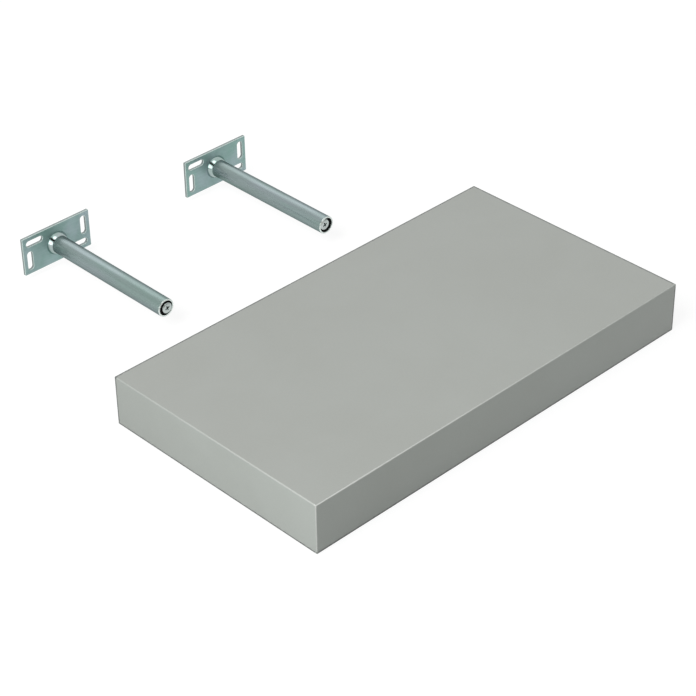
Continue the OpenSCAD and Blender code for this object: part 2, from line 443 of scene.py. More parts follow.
def make_arris_group():
    """The narrow strips along the twelve edges of a box, slightly uneven: a painted highlight
    where an edge is turned to the highlight side, and a painted shade line along the others."""
    tree, given, out = new_group(
        "arris",
        [("Vector", "vector", None), ("Centre", "vector", (0, 0, 0)),
         ("Half Size", "vector", (1, 1, 1)), ("Highlight Width", "float", 0.001),
         ("Shade Line Width", "float", 0.001), ("Highlight Side", "vector", (0, -1, 0))],
        [("Painted Highlight", "float"), ("Painted Shade Line", "float")],
    )
    offset = vector_sums(tree, "SUBTRACT", given["Vector"], given["Centre"])
    inset = vector_sums(
        tree, "SUBTRACT", given["Half Size"], vector_sums(tree, "ABSOLUTE", offset)
    )
    insets = axes_of(tree, inset)
    # The middle one of the three insets is the distance from the nearest edge
    nearer = sums(tree, "MINIMUM", insets[0], insets[1])
    farther = sums(tree, "MAXIMUM", insets[0], insets[1])
    from_edge = sums(tree, "MAXIMUM", nearer, sums(tree, "MINIMUM", farther, insets[2]))
    waver = remap(tree, noise(tree, given["Vector"], WAVER_SCALE), NOISE_SPAN, WAVER)
    side = vector_sums(
        tree, "MULTIPLY", vector_sums(tree, "SIGN", offset), given["Highlight Side"]
    )
    sides = axes_of(tree, side)
    turned = 0.0
    for axis in range(3):
        close = sums(tree, "LESS_THAN", insets[axis], EDGE_REACH)
        turned = sums(tree, "MULTIPLY_ADD", close, sides[axis], turned)
    towards = dot(tree, offset, given["Highlight Side"])
    # Painted highlight: stronger towards the corner on the highlight side
    highlight_strength = remap(tree, towards, HIGHLIGHT_CORNER_REACH, HIGHLIGHT_CORNER_SHARE)
    # Painted shade: the dark line is stronger towards the bottom
    shade_line_strength = remap(tree, axes_of(tree, offset)["Z"], SHADE_LINE_HEIGHT, SHADE_LINE_SHARE)
    shares = (
        ("Painted Highlight", "Highlight Width", remap(tree, turned, HIGHLIGHT_TURN), highlight_strength),
        ("Painted Shade Line", "Shade Line Width", remap(tree, turned, SHADE_LINE_TURN, FALLING), shade_line_strength),
    )
    for label, width, share, strength in shares:
        reach = sums(tree, "MULTIPLY", given[width], waver)
        mask = remap(tree, sums(tree, "DIVIDE", from_edge, reach), STRIP_FADE, FALLING)
        mask = sums(tree, "MULTIPLY", sums(tree, "MULTIPLY", mask, share), strength)
        tree.links.new(mask, out[label])
    return tree


# The turning marks: the wear between them, and how high they stand over it
TURNING_WEAR = (900.0, 900.0, 900.0)
TURNING_WAVE = 0.35


def make_rings_group():
    """Fine turning marks round an axis along Y."""
    tree, given, out = new_group(
        "turning_marks",
        [("Vector", "vector", None), ("Axis", "vector", (0, 0, 0)), ("Pitch", "float", 0.0004)],
        [("Height", "float")],
    )
    offset = vector_sums(tree, "SUBTRACT", given["Vector"], given["Axis"])
    flat = vector_sums(tree, "MULTIPLY", offset, (1.0, 0.0, 1.0))
    radius = vector_sums(tree, "LENGTH", flat, output="Value")
    turns = sums(tree, "DIVIDE", radius, given["Pitch"])
    wave = sums(tree, "SINE", sums(tree, "MULTIPLY", turns, 2 * math.pi))
    wear = drawn_noise(tree, offset, TURNING_WEAR)
    tree.links.new(sums(tree, "MULTIPLY_ADD", wave, TURNING_WAVE, wear), out["Height"])
    return tree


# The passivation: its cloudy patches, its green and blue drifts, its draw marks and its grain
PATCHES = {"Scale": 62.0, "Low": 0.36, "High": 0.66}
DRIFTS = {"Scale": 34.0, "Low": 0.42, "High": 0.7}
DRAW_MARKS = {"Scale": 900.0, "Detail": 2.0, "Low": 0.3, "High": 0.7}
GRAIN_SCALE = 520.0
DRIFT_SHARE = 0.6
GRAIN_LEVEL = (0.985, 1.015)
DRAW_LEVEL = (0.96, 1.04)
GRAIN_HEIGHT = 0.12


def make_passivation_group():
    """Zinc plating under its clear blue-green passivation, with cloudy patches and draw marks."""
    tree, given, out = new_group(
        "zinc_passivation",
        [("Vector", "vector", None), ("Along", "vector", (1, 1, 1)),
         ("Drift", "vector", (1, 1, 1)), ("Dull", "colour", colour(0.25, 0.30, 0.29)),
         ("Bright", "colour", colour(0.3, 0.35, 0.35)),
         ("Green", "colour", colour(0.24, 0.33, 0.30)), ("Rough", "float", 0.34),
         ("Spread", "float", 0.08)],
        [("Color", "colour"), ("Roughness", "float"), ("Height", "float")],
    )
    clouds = soft_clouds(tree, given["Vector"], {"Stretch": given["Drift"], **PATCHES})
    tints = soft_clouds(tree, given["Vector"], {"Stretch": given["Drift"], **DRIFTS})
    lines = soft_clouds(tree, given["Vector"], {"Stretch": given["Along"], **DRAW_MARKS})
    spangle = add_node(
        tree, "ShaderNodeTexVoronoi", {"Vector": given["Vector"], "Scale": GRAIN_SCALE}
    ).outputs["Color"]
    grain = add_node(tree, "ShaderNodeSeparateColor", {0: spangle}).outputs[0]
    tone = blend_colours(tree, clouds, given["Dull"], given["Bright"])
    tone = blend_colours(tree, sums(tree, "MULTIPLY", tints, DRIFT_SHARE), tone, given["Green"])
    flecks = remap(tree, grain, WHOLE, GRAIN_LEVEL)
    streaks = remap(tree, lines, WHOLE, DRAW_LEVEL)
    level = sums(tree, "MULTIPLY", flecks, streaks)
    tree.links.new(dimmed(tree, tone, level), out["Color"])
    low = sums(tree, "SUBTRACT", given["Rough"], given["Spread"])
    high = sums(tree, "ADD", given["Rough"], given["Spread"])
    tree.links.new(remap(tree, clouds, WHOLE, (high, low)), out["Roughness"])
    tree.links.new(sums(tree, "MULTIPLY_ADD", grain, GRAIN_HEIGHT, lines), out["Height"])
    return tree


CLOUDS = make_clouds_group()
ARRIS = make_arris_group()
RINGS = make_rings_group()
PASSIVATION = make_passivation_group()


# Finishes


def start_material(name, roughness=0.5, metallic=0.0, specular=0.5):
    """A new material with its shader and the surface's own coordinates."""
    material = bpy.data.materials.new(name)
    tree = clear_nodes(material)
    shader = tree.nodes.new("ShaderNodeBsdfPrincipled")
    output = tree.nodes.new("ShaderNodeOutputMaterial")
    tree.links.new(shader.outputs["BSDF"], output.inputs["Surface"])
    shader.inputs["Roughness"].default_value = roughness
    shader.inputs["Metallic"].default_value = metallic
    shader.inputs["Specular IOR Level"].default_value = specular
    place = tree.nodes.new("ShaderNodeTexCoord").outputs["Object"]
    return material, tree, shader.inputs, place


def dress(tree, shader, tone, roughness, height, depth, strength=1.0):
    """Gives a shader its colour, its roughness and its surface, which is bumpy to a depth."""
    tree.links.new(tone, shader["Base Color"])
    tree.links.new(roughness, shader["Roughness"])
    bump = {"Height": height, "Distance": depth, "Strength": strength}
    tree.links.new(add_node(tree, "ShaderNodeBump", bump).outputs["Normal"], shader["Normal"])


FOIL_PATCHES = {"Scale": 9.0, "Detail": 3.0, "Low": 0.3, "High": 0.7}
FOIL_SPECKLES = {"Stretch": (1.0, 2.0, 2.0), "Scale": 420.0, "Low": 0.3, "High": 0.7}
SPECKLE_LEVEL = (0.985, 1.015)
SPECKLE_HEIGHT = 0.3
PEEL_SCALE = 620.0
FOIL_ROUGHNESS = (0.40, 0.46)
HIGHLIGHT_STRIP_GLOSS = -0.12


def make_foil(name, lighter, darker, fade):
    """Silver-grey laminate foil with a faint peel and uneven gloss, a painted highlight along the
    edges turned to the highlight side and a painted shade line along the others, and a painted
    light gradient along the board by the given share per metre."""
    material, tree, shader, place = start_material(name, specular=FOIL_SPECULAR)
    low, high = BOARD_BOX
    patches = soft_clouds(tree, place, FOIL_PATCHES)
    fine = soft_clouds(tree, place, FOIL_SPECKLES)
    tone = blend_colours(tree, patches, darker, lighter)
    speckle = remap(tree, fine, WHOLE, SPECKLE_LEVEL)
    # Painted light: the tone grows lighter and darker across the face, as light falling off would
    # make it
    drift = dot(tree, vector_sums(tree, "SUBTRACT", place, BOARD_MIDDLE), fade)
    tone = dimmed(tree, tone, sums(tree, "MULTIPLY_ADD", drift, speckle, speckle))
    edge = use_group(
        tree,
        ARRIS,
        {"Vector": place, "Centre": BOARD_MIDDLE, "Half Size": (high - low) / 2,
         "Highlight Width": 1.0 * MM, "Shade Line Width": 2.3 * MM, "Highlight Side": HIGHLIGHT_SIDE},
    )
    # Painted shade along the edges turned away from the highlight side, then a painted highlight
    # along the others
    tone = blend_colours(tree, edge["Painted Shade Line"], tone, FOIL_PAINTED_SHADE)
    tone = blend_colours(tree, edge["Painted Highlight"], tone, FOIL_PAINTED_HIGHLIGHT)
    gloss = remap(tree, patches, WHOLE, FOIL_ROUGHNESS)
    gloss = sums(tree, "MULTIPLY_ADD", edge["Painted Highlight"], HIGHLIGHT_STRIP_GLOSS, gloss)
    peel = noise(tree, place, PEEL_SCALE, detail=2.0)
    height = sums(tree, "MULTIPLY_ADD", fine, SPECKLE_HEIGHT, peel)
    dress(tree, shader, tone, gloss, height, depth=0.02 * MM, strength=0.5)
    return material


EVENLY = (1.0, 1.0, 1.0)
# How much a turned finish's roughness varies, as a share of it
TURNED_SPREAD = 0.2


def start_zinc(name, tones, rough, spread, metallic=1.0, along=EVENLY, drift=EVENLY):
    """A material of plated steel, and what its colour, roughness and surface are made of."""
    material, tree, shader, place = start_material(name, rough, metallic)
    dull, bright, green = tones
    look = use_group(
        tree,
        PASSIVATION,
        {"Vector": place, "Along": along, "Drift": drift, "Dull": dull, "Bright": bright,
         "Green": green, "Rough": rough, "Spread": spread},
    )
    return material, tree, shader, place, look


# How far a plate's surface is turned to the wall, from -1 for its front to 1 for its back: where
# the front ends, where the sheared walls begin and where the back begins
FRONT_ENDS = (-0.985, -0.97)
WALLS_BEGIN = (-0.2, -0.1)
BACK_BEGINS = (0.97, 0.985)


def make_plate_zinc():
    """The plates: streaked along X, with sheared edges and slot walls in a duller tone that is
    darkened further as painted shade, and a painted highlight on the rounded front arris.
    """
    material, tree, shader, _, look = start_zinc(
        "zinc_plate", PLATE_TONES, rough=0.48, spread=0.06, metallic=ZINC_METALLIC,
        along=(0.05, 1.0, 1.0), drift=(0.7, 1.0, 0.5),
    )
    facing_out = tree.nodes.new("ShaderNodeTexCoord").outputs["Normal"]
    to_wall = axes_of(tree, facing_out)["Y"]
    rounded = remap(tree, to_wall, FRONT_ENDS)
    sheared = remap(tree, to_wall, WALLS_BEGIN)
    back = remap(tree, to_wall, BACK_BEGINS)
    # A painted highlight on the front roundings; the walls in their own duller tone, darkened
    # further as painted shade
    edge = blend_colours(tree, sheared, PAINTED_HIGHLIGHT_METAL, SHEARED_METAL_AND_SHADE)
    not_flat = sums(tree, "SUBTRACT", rounded, back)
    tone = blend_colours(tree, not_flat, look["Color"], edge)
    dress(tree, shader, tone, look["Roughness"], look["Height"], depth=0.004 * MM)
    return material


def make_tube_zinc(cut_beyond):
    """The tubes: streaked along Y, bare metal further from the wall than the given distance, its
    light tone partly a painted highlight on the rim.
    """
    material, tree, shader, place, look = start_zinc(
        "zinc_tube", TUBE_TONES, rough=0.28, spread=0.05, metallic=ZINC_METALLIC,
        along=(1.0, 0.03, 1.0), drift=(1.6, 0.2, 1.6),
    )
    shader["Specular Tint"].default_value = TUBE_RIM
    depth = axes_of(tree, place)["Y"]
    worn = sums(tree, "MULTIPLY_ADD", look["Height"], TUBE_CUT_WAVER, depth)
    cut = remap(tree, worn, [fade - cut_beyond for fade in TUBE_CUT_FADE], FALLING)
    tone = blend_colours(tree, cut, look["Color"], BARE_TIP_AND_HIGHLIGHT)
    dress(tree, shader, tone, look["Roughness"], look["Height"], depth=0.003 * MM)
    return material


def make_turned_zinc(name, axis, tones, rough, pitch, depth):
    """Plated steel with turning marks round an axis along Y."""
    material, tree, shader, place, look = start_zinc(name, tones, rough, rough * TURNED_SPREAD)
    marks = use_group(tree, RINGS, {"Vector": place, "Axis": axis, "Pitch": pitch})["Height"]
    dress(tree, shader, look["Color"], look["Roughness"], marks, depth)
    return material


# Black nylon, darkened further and kept almost without gloss as painted shade in the tube's mouth
NYLON_AND_SHADE_TONES = (grey(0.002), grey(0.005))
NYLON_ROUGHNESS = (0.48, 0.62)
NYLON_GRAIN = 1800.0


def make_nylon():
    material, tree, shader, place = start_material("black_nylon", roughness=0.55, specular=0.05)
    patches = soft_clouds(tree, place, {"Scale": 300.0})
    tone = blend_colours(tree, patches, *NYLON_AND_SHADE_TONES)
    gloss = remap(tree, patches, WHOLE, NYLON_ROUGHNESS)
    grain = noise(tree, place, NYLON_GRAIN)
    dress(tree, shader, tone, gloss, grain, depth=0.03 * MM, strength=0.6)
    return material


CHIP_TONES = (colour(0.40, 0.27, 0.14), colour(0.68, 0.53, 0.33))
CHIP_BARK = colour(0.22, 0.13, 0.06)
CHIP_BARK_SCALE = 700.0
CHIP_BARK_SPAN = (0.62, 0.72)
CHIP_BARK_SHARE = (0.0, 0.7)
CHIP_STRETCH = (0.45, 1.0, 1.6)
CHIP_SCALE = 330.0
CHIP_WOBBLE_SCALE = 180.0
CHIP_WOBBLE = (0.004, 0.003, 0.002)
CHIP_ROUGHNESS = (0.78, 0.92)
CHIP_STEP = 0.5


def make_chipboard():
    """Pressed wood chips of several tones, drawn out along X."""
    material, tree, shader, place = start_material("chipboard", roughness=0.85)
    stretched = vector_sums(tree, "MULTIPLY", place, CHIP_STRETCH)
    wobble = noise(tree, place, CHIP_WOBBLE_SCALE, detail=2.0)
    shifts = {axis: sums(tree, "MULTIPLY", wobble, far) for axis, far in enumerate(CHIP_WOBBLE)}
    shift = add_node(tree, "ShaderNodeCombineXYZ", shifts).outputs[0]
    bent = vector_sums(tree, "ADD", stretched, shift)
    chips = add_node(tree, "ShaderNodeTexVoronoi", {"Vector": bent, "Scale": CHIP_SCALE}).outputs
    shade = add_node(tree, "ShaderNodeSeparateColor", {0: chips["Color"]}).outputs[0]
    bark = remap(tree, noise(tree, place, CHIP_BARK_SCALE), CHIP_BARK_SPAN, CHIP_BARK_SHARE)
    tone = blend_colours(tree, bark, blend_colours(tree, shade, *CHIP_TONES), CHIP_BARK)
    roughness = remap(tree, shade, WHOLE, CHIP_ROUGHNESS)
    height = sums(tree, "MULTIPLY_ADD", shade, CHIP_STEP, chips["Distance"])
    dress(tree, shader, tone, roughness, height, depth=0.25 * MM)
    return material


WOOD_TONES = (colour(0.64, 0.46, 0.25), colour(0.46, 0.27, 0.11))
WOOD_PORES = colour(0.36, 0.21, 0.09)
WOOD_DRIFT_SCALES = (30.0, 4.0, 30.0)
WOOD_DRIFT = 0.012
WOOD_FIBRE_SCALES = (1500.0, 60.0, 1500.0)
PORE_SPAN = (0.5, 0.75)
PORE_SHARE = (0.0, 0.35)
RING_SLANT = 0.35
RING_SCALE = 1400.0
LATE_WOOD = (-0.2, 1.0)
LATE_HEIGHT = 0.3
WOOD_ROUGHNESS = (0.74, 0.6)


def make_wood():
    """Planed softwood with its grain along Y, as the bores run."""
    material, tree, shader, place = start_material("solid_wood", roughness=0.7)
    drift = drawn_noise(tree, place, WOOD_DRIFT_SCALES, detail=2.0)
    ways = axes_of(tree, place)
    across = sums(tree, "MULTIPLY_ADD", ways["Z"], RING_SLANT, ways["X"])
    bands = sums(tree, "MULTIPLY_ADD", drift, WOOD_DRIFT, across)
    rings = sums(tree, "SINE", sums(tree, "MULTIPLY", bands, RING_SCALE))
    late = remap(tree, rings, LATE_WOOD)
    fibre = drawn_noise(tree, place, WOOD_FIBRE_SCALES)
    pores = remap(tree, fibre, PORE_SPAN, PORE_SHARE)
    tone = blend_colours(tree, pores, blend_colours(tree, late, *WOOD_TONES), WOOD_PORES)
    roughness = remap(tree, late, WHOLE, WOOD_ROUGHNESS)
    height = sums(tree, "MULTIPLY_ADD", late, LATE_HEIGHT, fibre)
    dress(tree, shader, tone, roughness, height, depth=0.08 * MM)
    return material


KRAFT_TONES = (colour(0.40, 0.26, 0.13), colour(0.52, 0.36, 0.20))
KRAFT_FIBRES = colour(0.62, 0.47, 0.29)
KRAFT_FIBRE_SCALES = (700.0, 700.0, 2200.0)
KRAFT_FIBRE_SPAN = (0.55, 0.7)
KRAFT_FIBRE_SHARE = (0.0, 0.5)
KRAFT_ROUGHNESS = (0.85, 0.95)


def make_kraft():
    """Brown honeycomb paper with short fibres."""
    material, tree, shader, place = start_material("kraft_paper", roughness=0.9)
    fibres = drawn_noise(tree, place, KRAFT_FIBRE_SCALES, detail=4.0)
    mottle = soft_clouds(tree, place, {"Scale": 80.0})
    shown = remap(tree, fibres, KRAFT_FIBRE_SPAN, KRAFT_FIBRE_SHARE)
    tone = blend_colours(tree, shown, blend_colours(tree, mottle, *KRAFT_TONES), KRAFT_FIBRES)
    roughness = remap(tree, fibres, NOISE_SPAN, KRAFT_ROUGHNESS)
    dress(tree, shader, tone, roughness, fibres, depth=0.06 * MM)
    return material


WIRE_TONES = (colour(0.42, 0.43, 0.42), colour(0.62, 0.63, 0.62))
WIRE_DRAW_SCALES = (4000.0, 400.0, 400.0)
WIRE_ROUGHNESS = (0.25, 0.42)


def make_wire():
    material, tree, shader, place = start_material("staple_wire", roughness=0.3, metallic=1.0)
    drawn = drawn_noise(tree, place, WIRE_DRAW_SCALES)
    tone = blend_colours(tree, drawn, *WIRE_TONES)
    roughness = remap(tree, drawn, NOISE_SPAN, WIRE_ROUGHNESS)
    dress(tree, shader, tone, roughness, drawn, depth=0.01 * MM)
    return material


# The board

front_box, back_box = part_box("front_edge_band"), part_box("back_edge_band")
left_box, right_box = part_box("left_edge_band"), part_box("right_edge_band")
BOARD_BOX = (
    Vector((left_box[0].x, front_box[0].y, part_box("bottom_skin")[0].z)),
    Vector((right_box[1].x, back_box[1].y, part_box("top_skin")[1].z)),
)
BOARD_MIDDLE = (BOARD_BOX[0] + BOARD_BOX[1]) / 2
FRONT_SEAM = front_box[1].y
BACK_SEAM = back_box[0].y
END_SEAM = right_box[0].x

FOIL_SPECULAR = 0.3
FOIL_PAINTED_HIGHLIGHT = colour(0.66, 0.68, 0.65)
FOIL_PAINTED_SHADE = colour(0.12, 0.13, 0.125)
FOIL_LIGHT = colour(0.398, 0.416, 0.391)
FOIL_DARK = colour(0.378, 0.394, 0.368)
BAND_LIGHT = colour(0.407, 0.436, 0.408)
BAND_DARK = colour(0.386, 0.413, 0.384)
# The corner of the board whose edges get the painted highlight, and the painted light gradient
# over each face, as a share per metre
HIGHLIGHT_SIDE = (-0.6, -1.0, 0.8)
TOP_PAINTED_LIGHT = (0.0, -0.16, 0.0)
END_PAINTED_LIGHT = (0.0, -0.50, 0.0)
LONG_PAINTED_LIGHT = (0.22, 0.0, 0.0)

# The same foil three times, each with its own painted light gradient: lit and shaded copies of one
# material
foil = make_foil("foil", FOIL_LIGHT, FOIL_DARK, TOP_PAINTED_LIGHT)
long_edge_foil = make_foil("edge_foil", BAND_LIGHT, BAND_DARK, LONG_PAINTED_LIGHT)
end_edge_foil = make_foil("end_edge_foil", BAND_LIGHT, BAND_DARK, END_PAINTED_LIGHT)


def rounded_board():
    bm = box_mesh(*BOARD_BOX)
    bmesh.ops.bevel(
        bm,
        geom=bm.edges[:],
        offset=ARRIS_RADIUS,
        offset_type="OFFSET",
        segments=4,
        profile=0.5,
        affect="EDGES",
        clamp_overlap=True,
    )
    return bm


def make_edge_bands():
    """The four edge bands, cut from one board with rounded edges so that they meet."""
    forward, backward = Vector((0, -1, 0)), Vector((0, 1, 0))
    front = rounded_board()
    trim(front, (0, FRONT_SEAM, 0), backward)
    settle(piece_from(front, "front_band_rounded"), long_edge_foil, "board", "edge_foil",
           "front_edge_band")
    for side in (LEFT, RIGHT):
        band = rounded_board()
        trim(band, (0, FRONT_SEAM, 0), forward)
        trim(band, (0, BACK_SEAM, 0), backward)
        trim(band, (side * END_SEAM, 0, 0), Vector((-side, 0, 0)))
        label = SIDE_NAMES[side]
        settle(piece_from(band, f"{label}_band_rounded"), end_edge_foil, "board", "edge_foil",
               f"{label}_edge_band")
    back = rounded_board()
    trim(back, (0, BACK_SEAM, 0), forward)
    back = piece_from(back, "back_band_rounded")
    cutters = []
    for side in (LEFT, RIGHT):
        low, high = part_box(f"{SIDE_NAMES[side]}_wall_plate")
        room = Vector((RECESS_CLEARANCE, 0, RECESS_CLEARANCE))
        low = Vector((low.x, BACK_SEAM - CUTTER_PAST, low.z)) - room
        high = Vector((high.x, BOARD_BOX[1].y + CUTTER_PAST, high.z)) + room
        cutters.append(piece_from(box_mesh(low, high), "pocket_cutter"))
    cut_from(back, cutters)
    settle(back, long_edge_foil, "board", "edge_foil", "back_edge_band")


make_edge_bands()

node_finishes = {
    foil: ("top_skin", "bottom_skin"),
    make_chipboard(): ("front_rail", "back_rail", "left_end_rail", "right_end_rail"),
    make_wood(): ("left_rod_block", "right_rod_block"),
    make_kraft(): ("honeycomb_core",),
}
for finish, labels in node_finishes.items():
    for label in labels:
        give_finish(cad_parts[label], finish)


def make_staple_tree():
    """Puts a bent wire staple on each point: crown along Y, legs into the frame."""
    tree = bpy.data.node_groups.new("staples_on_points", "GeometryNodeTree")
    sockets = [("Points", "NodeSocketGeometry"), ("Crown", "NodeSocketFloat"),
               ("Leg", "NodeSocketFloat"), ("Wire", "NodeSocketFloat"),
               ("Bend", "NodeSocketFloat"), ("Material", "NodeSocketMaterial")]
    for label, kind in sockets:
        tree.interface.new_socket(name=label, in_out="INPUT", socket_type=kind)
    tree.interface.new_socket(name="Staples", in_out="OUTPUT", socket_type="NodeSocketGeometry")
    given = tree.nodes.new("NodeGroupInput").outputs
    out = tree.nodes.new("NodeGroupOutput").inputs
    leg = sums(tree, "MULTIPLY_ADD", given["Wire"], -0.5, given["Leg"])
    crown = sums(tree, "SUBTRACT", given["Crown"], given["Wire"])
    loop = add_node(
        tree, "GeometryNodeCurvePrimitiveQuadrilateral", {"Width": leg, "Height": crown}
    ).outputs["Curve"]
    path = add_node(
        tree, "GeometryNodeSetSplineCyclic", {"Geometry": loop, "Cyclic": False}
    ).outputs["Geometry"]
    path = add_node(
        tree,
        "GeometryNodeFilletCurve",
        {"Curve": path, "Radius": given["Bend"], "Count": STAPLE_BEND_STEPS},
        mode="POLY",
    ).outputs["Curve"]
    section = add_node(
        tree,
        "GeometryNodeCurvePrimitiveQuadrilateral",
        {"Width": given["Wire"], "Height": given["Wire"]},
    ).outputs["Curve"]
    wire_round = sums(tree, "MULTIPLY", given["Wire"], WIRE_ROUND)
    section = add_node(
        tree,
        "GeometryNodeFilletCurve",
        {"Curve": section, "Radius": wire_round, "Count": WIRE_ROUND_STEPS},
        mode="POLY",
    ).outputs["Curve"]
    wire = add_node(
        tree,
        "GeometryNodeCurveToMesh",
        {"Curve": path, "Profile Curve": section, "Fill Caps": True},
    ).outputs["Mesh"]
    sink = sums(tree, "MULTIPLY", sums(tree, "ADD", leg, given["Wire"]), -0.5)
    lowered = add_node(tree, "ShaderNodeCombineXYZ", {"Z": sink}).outputs[0]
    staple = add_node(
        tree,
        "GeometryNodeTransform",
        {"Geometry": wire, "Translation": lowered, "Rotation": (0.0, math.pi / 2, 0.0)},
    ).outputs["Geometry"]
    height = axes_of(tree, tree.nodes.new("GeometryNodeInputPosition").outputs[0])["Z"]
    half_turn = sums(tree, "MULTIPLY", sums(tree, "LESS_THAN", height, 0.0), math.pi)
    turn = add_node(tree, "ShaderNodeCombineXYZ", {"Y": half_turn}).outputs[0]
    turn = add_node(tree, "FunctionNodeEulerToRotation", {0: turn}).outputs[0]
    placed = add_node(
        tree,
        "GeometryNodeInstanceOnPoints",
        {"Points": given["Points"], "Instance": staple, "Rotation": turn},
    ).outputs["Instances"]
    real = add_node(tree, "GeometryNodeRealizeInstances", {"Geometry": placed}).outputs[0]
    finished = add_node(
        tree, "GeometryNodeSetMaterial", {"Geometry": real, "Material": given["Material"]}
    ).outputs[0]
    tree.links.new(finished, out["Staples"])
    return tree


def make_staples():
    """The eight staples across the joints of the frame, on a point over each joint."""
    low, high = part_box("frame_staples")
    bm = bmesh.new()
    for x in (low.x + STAPLE_WIRE / 2, high.x - STAPLE_WIRE / 2):
        for y in (low.y + STAPLE_CROWN / 2, high.y - STAPLE_CROWN / 2):
            for z in (low.z, high.z):
                bm.verts.new((x, y, z))
    mesh = bpy.data.meshes.new("staples_bent")
    bm.to_mesh(mesh)
    bm.free()
    staples = bpy.data.objects.new("staples_bent", mesh)
    collection.objects.link(staples)
    finish = make_wire()
    tree = make_staple_tree()
    values = {"Crown": STAPLE_CROWN, "Leg": STAPLE_LEG, "Wire": STAPLE_WIRE,
              "Bend": STAPLE_BEND, "Material": finish}
    step = staples.modifiers.new("staples", "NODES")
    step.node_group = tree
    for socket in tree.interface.items_tree:
        if socket.name in values:
            step[socket.identifier] = values[socket.name]
    bake_modifiers(staples)
    bm = bmesh.new()
    bm.from_mesh(staples.data)
    bmesh.ops.recalc_face_normals(bm, faces=bm.faces[:])
    bm.to_mesh(staples.data)
    bm.free()
    settle(staples, finish, "board", "staple_wire", "frame_staples")


make_staples()


# The brackets

ZINC_METALLIC = 0.72
# Tones of the passivation: its dull and bright patches, and its greener drifts
PLATE_TONES = (
    colour(0.300, 0.440, 0.425),
    colour(0.355, 0.455, 0.480),
    colour(0.265, 0.465, 0.405),
)
TUBE_TONES = (
    colour(0.230, 0.292, 0.282),
    colour(0.265, 0.315, 0.326),
    colour(0.208, 0.310, 0.275),
)
COLLAR_TONES = (colour(0.33, 0.42, 0.40), colour(0.43, 0.48, 0.49), colour(0.30, 0.43, 0.39))
SCREW_TONES = (colour(0.42, 0.46, 0.45), colour(0.56, 0.60, 0.59), colour(0.42, 0.49, 0.47))
TUBE_RIM = colour(0.25, 0.30, 0.30)
# The bare cut at a tube's tip, made this light as a painted highlight on the rim
BARE_TIP_AND_HIGHLIGHT = colour(0.80, 0.88, 0.85)
# The plates' walls: their own duller tone, darkened further as painted shade; their front
# roundings: a painted highlight
SHEARED_METAL_AND_SHADE = colour(0.235, 0.275, 0.270)
PAINTED_HIGHLIGHT_METAL = colour(0.58, 0.69, 0.66)

zinc_plate = make_plate_zinc()
zinc_tube = make_tube_zinc(-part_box("left_tube")[0].y - TUBE_TIP_CUT)
black_nylon = make_nylon()


def rod_centre(side):
    low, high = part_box(f"{SIDE_NAMES[side]}_collar")
    return (low.x + high.x) / 2, (low.z + high.z) / 2


def screw_centre(side):
    low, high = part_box(f"{SIDE_NAMES[side]}_tie_screw")
    return (low.x + high.x) / 2, (low.z + high.z) / 2


def rounded_rectangle(width, height, radius, steps):
    points = []
    for turn, (sx, sy) in enumerate(((1, 1), (-1, 1), (-1, -1), (1, -1))):
        for step in range(steps + 1):
            angle = math.pi / 2 * (turn + step / steps)
            points.append(
                (
                    sx * (width / 2 - radius) + radius * math.cos(angle),
                    sy * (height / 2 - radius) + radius * math.sin(angle),
                )
            )
    return points


def shifted(points, x, y, turned=False):
    return [((-v if turned else u) + x, (u if turned else v) + y) for u, v in points]


def plate_outlines(width, height):
    """The plate's outline, its four slots and the hole for the boss, in X and Z."""
    slot_end = SLOT_WIDTH / 2 - CORNER_GAP
    hole_radius = SPIGOT_DIAMETER / 2 - CORNER_GAP
    slot = rounded_rectangle(SLOT_LENGTH, SLOT_WIDTH, slot_end, SLOT_END_STEPS)
    long_x = width / 2 - SLOT_MARGIN - SLOT_LENGTH / 2
    long_z = height / 2 - SLOT_MARGIN - SLOT_WIDTH / 2
    tall_x = width / 2 - SLOT_MARGIN - SLOT_WIDTH / 2
    tall_z = height / 2 - SLOT_MARGIN - SLOT_LENGTH / 2
    return [
        rounded_rectangle(width, height, PLATE_CORNER, CORNER_STEPS),
        shifted(slot, -long_x, long_z),
        shifted(slot, long_x, -long_z),
        shifted(slot, tall_x, tall_z, turned=True),
        shifted(slot, -tall_x, -tall_z, turned=True),
        rounded_rectangle(SPIGOT_DIAMETER, SPIGOT_DIAMETER, hole_radius, HOLE_STEPS),
    ]


# How far the faces of a plate's rounded edges are turned to its front or back
ROUNDED_FACES = (0.05, 0.995)


def part_flats_from_rounds(mesh):
    """Marks the lines where the plate's flat faces and walls end and its rounded edges begin."""
    bm = bmesh.new()
    bm.from_mesh(mesh)
    bm.normal_update()
    low, high = ROUNDED_FACES
    for edge in bm.edges:
        rounds = [low < abs(face.normal.y) < high for face in edge.link_faces]
        if any(rounds) and not all(rounds):
            edge.smooth = False
    bm.to_mesh(mesh)
    bm.free()


